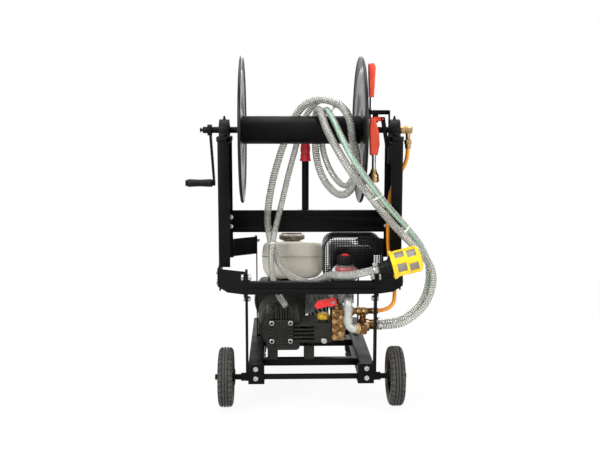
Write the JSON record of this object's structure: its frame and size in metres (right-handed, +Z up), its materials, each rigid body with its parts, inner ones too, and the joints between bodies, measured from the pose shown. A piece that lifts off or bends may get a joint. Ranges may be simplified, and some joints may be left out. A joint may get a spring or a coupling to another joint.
{
  "type": "wheeled_sprayer_cart",
  "caption": "Two-wheeled sprayer cart: engine-driven plunger pump on a steel frame under a cranked hose reel, with suction and return hoses, strainer and spray gun.",
  "frame": {"origin": "on the ground, below the middle of the rigid cart's bounding box", "axes": "+X to the right seen from the pump side, +Y from the pump side to the starter side, +Z up"},
  "size_m": [0.6936, 0.557, 0.9382],
  "materials": {
    "black_paint": "gloss",
    "zinc": "satin",
    "rubber": "matte",
    "tyre_rubber": "matte",
    "dark_casting": "satin",
    "brass": "satin",
    "chrome": "gloss",
    "beige_paint": "gloss",
    "red_plastic": "gloss",
    "yellow_plastic": "gloss",
    "orange_hose": "satin",
    "clear_hose": "gloss",
    "black_plastic": "matte",
    "steel_mesh": "satin",
    "aluminium": "satin"
  },
  "bodies": {
    "cart": {"air_cleaner": "black_plastic", "axle": "black_paint", "bearings": "black_paint", "carburettor": "aluminium", "crankcase": "dark_casting", "cross_bars": "black_paint", "cross_beam": "black_paint", "cylinder": "aluminium", "frame_bolts": "zinc", "fuel_tank": "beige_paint", "gun_body": "red_plastic", "gun_holder": "black_paint", "gun_lance": "chrome", "handle_clevis": "black_paint", "hose_ties": "zinc", "inlet_pipe": "chrome", "manifold": "brass", "muffler": "dark_casting", "muffler_guard": "black_paint", "post_left": "black_paint", "post_right": "black_paint", "pressure_hose": "orange_hose", "pump_case": "dark_casting", "pump_cover": "dark_casting", "pump_head": "dark_casting", "recoil_cover": "black_paint", "reel_arms": "black_paint", "regulator_body": "aluminium", "regulator_dome": "aluminium", "return_hose": "clear_hose", "rubber_feet": "rubber", "side_rails": "black_paint", "starter_handle": "black_plastic", "strainer_cage": "yellow_plastic", "strainer_mesh": "steel_mesh", "strainer_neck": "black_plastic", "suction_hose": "clear_hose", "swivel": "brass", "top_bar": "black_paint", "uprights": "black_paint"},
    "left_wheel": {"tyre_left": "tyre_rubber", "hub_left": "black_plastic"},
    "right_wheel": {"tyre_right": "tyre_rubber", "hub_right": "black_plastic"},
    "reel": {"reel_drum": "black_paint", "reel_flange_left": "black_paint", "reel_flange_right": "black_paint", "reel_shaft": "black_paint", "crank_arm": "black_paint"},
    "crank_grip": {"crank_grip": "black_plastic"},
    "pull_handle": {"handle_tube": "black_paint", "handle_grip": "red_plastic"},
    "bypass_lever": {"bypass_lever": "red_plastic"},
    "regulator_knob": {"regulator_knob": "black_plastic"},
    "gun_trigger": {"gun_trigger": "black_plastic"},
    "fuel_cap": {"fuel_cap": "beige_paint"},
    "oil_cap": {"oil_cap": "yellow_plastic"},
    "throttle_lever": {"throttle_lever": "black_plastic"}
  },
  "joints": [
    {"name": "left_wheel_spin", "type": "hinge", "parent": "cart", "child": "left_wheel", "pos_m": [-0.1916, -0.195, 0.08], "axis": [1, 0, 0], "continuous": true},
    {"name": "right_wheel_spin", "type": "hinge", "parent": "cart", "child": "right_wheel", "pos_m": [0.2644, -0.195, 0.08], "axis": [1, 0, 0], "continuous": true},
    {"name": "reel_spin", "type": "hinge", "parent": "cart", "child": "reel", "pos_m": [0.0364, -0.07, 0.7382], "axis": [1, 0, 0], "continuous": true},
    {"name": "crank_grip_spin", "type": "hinge", "parent": "reel", "child": "crank_grip", "pos_m": [-0.2786, 0.043, 0.5832], "axis": [1, 0, 0], "continuous": true},
    {"name": "handle_fold", "type": "hinge", "parent": "cart", "child": "pull_handle", "pos_m": [0.0274, 0.017, 0.4775], "axis": [-1, 0, 0], "range_deg": [0, 90]},
    {"name": "bypass_turn", "type": "hinge", "parent": "cart", "child": "bypass_lever", "pos_m": [0.0944, -0.183, 0.283], "axis": [0, 1, 0], "range_deg": [0, 70]},
    {"name": "regulator_turn", "type": "hinge", "parent": "cart", "child": "regulator_knob", "pos_m": [0.1294, -0.157, 0.392], "axis": [0, 0, 1], "range_deg": [-360, 360]},
    {"name": "trigger_pull", "type": "hinge", "parent": "cart", "child": "gun_trigger", "pos_m": [0.2304, -0.117, 0.768], "axis": [0, 1, 0], "range_deg": [0, 10], "stiffness_Nm_per_rad": 0.6, "springref_deg": -5.73},
    {"name": "fuel_cap_turn", "type": "hinge", "parent": "cart", "child": "fuel_cap", "pos_m": [-0.0106, 0.077, 0.426], "axis": [0, 0, 1], "range_deg": [0, 90]},
    {"name": "oil_cap_turn", "type": "hinge", "parent": "cart", "child": "oil_cap", "pos_m": [0.0704, -0.171, 0.24], "axis": [0, 0, 1], "range_deg": [0, 360]},
    {"name": "throttle_swing", "type": "hinge", "parent": "cart", "child": "throttle_lever", "pos_m": [0.1184, 0.1775, 0.298], "axis": [0, 0, 1], "range_deg": [-25, 25]}
  ]
}
